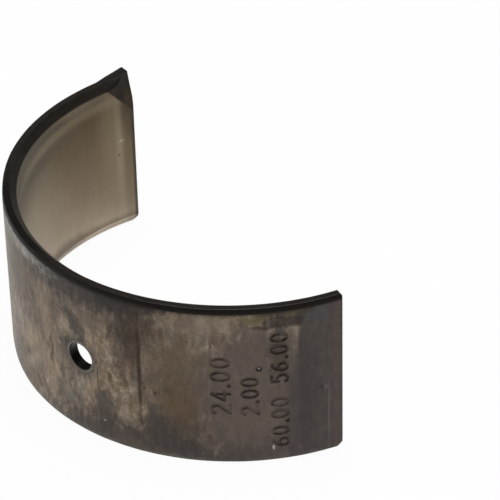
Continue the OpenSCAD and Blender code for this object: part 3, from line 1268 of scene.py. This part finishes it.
@dataclass(frozen=True)
class FacedEdge(Finish):
    """Faced and drilled steel: painted nearly black as painted shade on the rolled upper edge and in the
    hole, bare on the end faces.

    Shares say how much of the cloudy grain shows.
    """

    shell: BearingShell
    tones: tuple[tuple[float, str], ...] = ((0.0, "#2b2621"), (1.0, "#3d3731"))
    cloud: Grain = Grain(2.4, 0.8, 5.0, 0.62)
    middle_tone: float = 0.5
    cloud_share: float = 1.6
    # The band of painted shade on the back's rolled upper edge: below the side face, outside the wall, and
    # thinner further down
    beside: Band = (11.93, 11.99, 1.0, 0.0)
    outward: Band = (-0.26, -0.16, 0.0, 1.0)
    fading: Band = (11.2, 11.55, 0.55, 1.0)
    rim_shade: Coat = Coat("#1a1613", 0.0, 1.0, 0.9)
    stains: tuple[Stain, ...] = (
        Stain((42.0, 11.5), (11.0, 2.0), "#120e0a", 0.8, 0.6, 0.4),
        # Painted shade: the drilled hole and its dished mouth are painted nearly black
        Stain((58.6, -0.2), (3.4, 3.4), "#100d0b", 0.95, 0.0, 0.1),
    )
    # Bare steel of the parting faces, by the distance from them
    parting: Coat = Coat("#85827d", 0.05, 0.02, 0.95)
    metallic: float = 0.85
    roughness: float = 0.36
    roughness_rim: float = 0.25
    roughness_cloud: float = 0.25

    def pattern(self, tree: NodeTree, strip: NodeSocket) -> dict[str, Link | float]:
        """Draws the edge, with painted shade on the rolled upper edge and in the hole, and the bare parting
        faces.

        Args:
            tree: The material's tree.
            strip: Strip coordinates in millimetres.

        Returns:
            What the sockets of the shader get.
        """
        cloud = self.cloud.draw(tree, strip)
        colour = ramp(tree, summed(tree, self.middle_tone, (cloud, self.cloud_share)), self.tones)
        along, height, across = add_node(tree, SEPARATE, (strip,)).outputs
        # Painted shade: this mask darkens the rolled upper edge nearly to black
        oil = faded(tree, (across, self.beside), (height, self.outward), (across, self.fading))
        colour = self.rim_shade.lay(tree, oil, colour)
        for stain in self.stains:
            colour = stain.lay(tree, strip, cloud, colour)
        middle = self.shell.arc / 2
        from_middle = apart(tree, along, middle)
        to_end = add_node(tree, MATH, (middle, from_middle), operation="SUBTRACT")
        colour = self.parting.lay(tree, to_end, colour)
        rough = summed(tree, self.roughness, (oil, self.roughness_rim), (cloud, self.roughness_cloud))
        return {"Base Color": colour, "Metallic": self.metallic, "Roughness": rough}


@dataclass
class Studio:
    """Pale floor, soft light and the camera of the photograph.

    Places are in millimetres, in the part's frame.
    """

    floor_height: float = -12.02
    floor_size: float = 6000.0
    floor_paper: str = "#f7f7f7"
    floor_white: str = "#ffffff"
    floor_glow: float = 0.95
    camera_place: tuple[float, float, float] = (288.46, -147.11, 224.40)
    camera_target: tuple[float, float, float] = (-12.77, 10.17, -12.0)
    camera_roll: float = -0.0207
    camera_sensor: float = 36.0
    camera_lens: float = 211.7
    camera_shift: Spot = (-0.0184, 0.00735)
    camera_near: float = 10.0
    lamp_power: float = 4.0
    lamp_size: float = 600.0
    lamp_height: float = 700.0
    world_grey: float = 0.25

    def camera(self) -> Object:
        """Places the camera.

        Returns:
            The camera, set as the scene's own.
        """
        place, target = Vector(self.camera_place), Vector(self.camera_target)
        forward = (target - place).normalized()
        right = forward.cross(Vector((0.0, 0.0, 1.0))).normalized()
        up = right.cross(forward)
        c, s = math.cos(self.camera_roll), math.sin(self.camera_roll)
        across, upright = right * c + up * s, up * c - right * s
        data = bpy.data.cameras.new("photo_camera")
        data.sensor_fit = "HORIZONTAL"
        data.sensor_width = self.camera_sensor
        data.lens = self.camera_lens
        data.shift_x, data.shift_y = self.camera_shift
        data.clip_start = self.camera_near * METRES
        camera = add_object("photo_camera", data)
        turn = Matrix((across, upright, -forward)).transposed().to_4x4()
        camera.matrix_world = Matrix.Translation(place * METRES) @ turn
        bpy.context.scene.camera = camera
        return camera

    def floor(self) -> Object:
        """Lays the pale floor, white to the camera and in reflections, with the shell's shadow.

        Returns:
            The floor.
        """
        half, height = self.floor_size / 2 * METRES, self.floor_height * METRES
        mesh = bpy.data.meshes.new("floor")
        corners = [((2 * x - 1) * half, (2 * y - 1) * half, height) for x, y in SQUARE]
        mesh.from_pydata(corners, [], [(0, 1, 2, 3)])
        material = empty_material("white_paper")
        tree = material.node_tree
        paper = add_node(tree, "ShaderNodeBsdfDiffuse", (linear(self.floor_paper),))
        glow = add_node(tree, "ShaderNodeEmission", (linear(self.floor_white), 1.0))
        path = add_node(tree, "ShaderNodeLightPath").outputs
        seen = path["Is Camera Ray"]
        for ray in ("Is Glossy Ray", "Is Transmission Ray"):
            seen = add_node(tree, MATH, (seen, path[ray]), operation="MAXIMUM")
        share = add_node(tree, MATH, (seen, self.floor_glow), operation="MULTIPLY")
        mixed = add_node(tree, "ShaderNodeMixShader", (share, paper, glow))
        add_node(tree, "ShaderNodeOutputMaterial", {"Surface": mixed})
        mesh.materials.append(material)
        floor = add_object("floor", mesh)
        return floor

    def light(self) -> None:
        """Hangs one soft lamp over the shell and gives the room a dim grey."""
        data = bpy.data.lights.new("softbox", "AREA")
        data.shape = "SQUARE"
        data.size = self.lamp_size * METRES
        data.energy = self.lamp_power
        lamp = add_object("softbox", data)
        lamp.location = Vector((0.0, 0.0, self.lamp_height)) * METRES
        world = bpy.data.worlds.new("studio")
        world.use_nodes = True
        background = world.node_tree.nodes["Background"]
        background.inputs[0].default_value = (self.world_grey, self.world_grey, self.world_grey, 1.0)
        bpy.context.scene.world = world

    def build(self) -> None:
        """Sets up the whole studio."""
        self.camera()
        self.floor()
        self.light()
        bpy.context.scene.view_settings.view_transform = "Standard"


def main() -> None:
    """Builds the studio and the shell."""
    logging.basicConfig(level=logging.INFO, format="%(name)s: %(message)s")
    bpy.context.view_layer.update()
    Studio().build()
    shell = BearingShell()
    piece = shell.build({
        Surface.BACK: SteelBack("phosphated_steel_back").make(),
        Surface.LINING: BearingLining("aluminium_tin_lining", shell).make(),
        Surface.EDGE: FacedEdge("faced_steel_edge", shell).make(),
    })
    triangles = sum(len(p.vertices) - 2 for p in piece.data.polygons)
    LOG.info("%s: %d vertices, %d triangles", piece.name, len(piece.data.vertices), triangles)


if __name__ == "__main__":
    main()
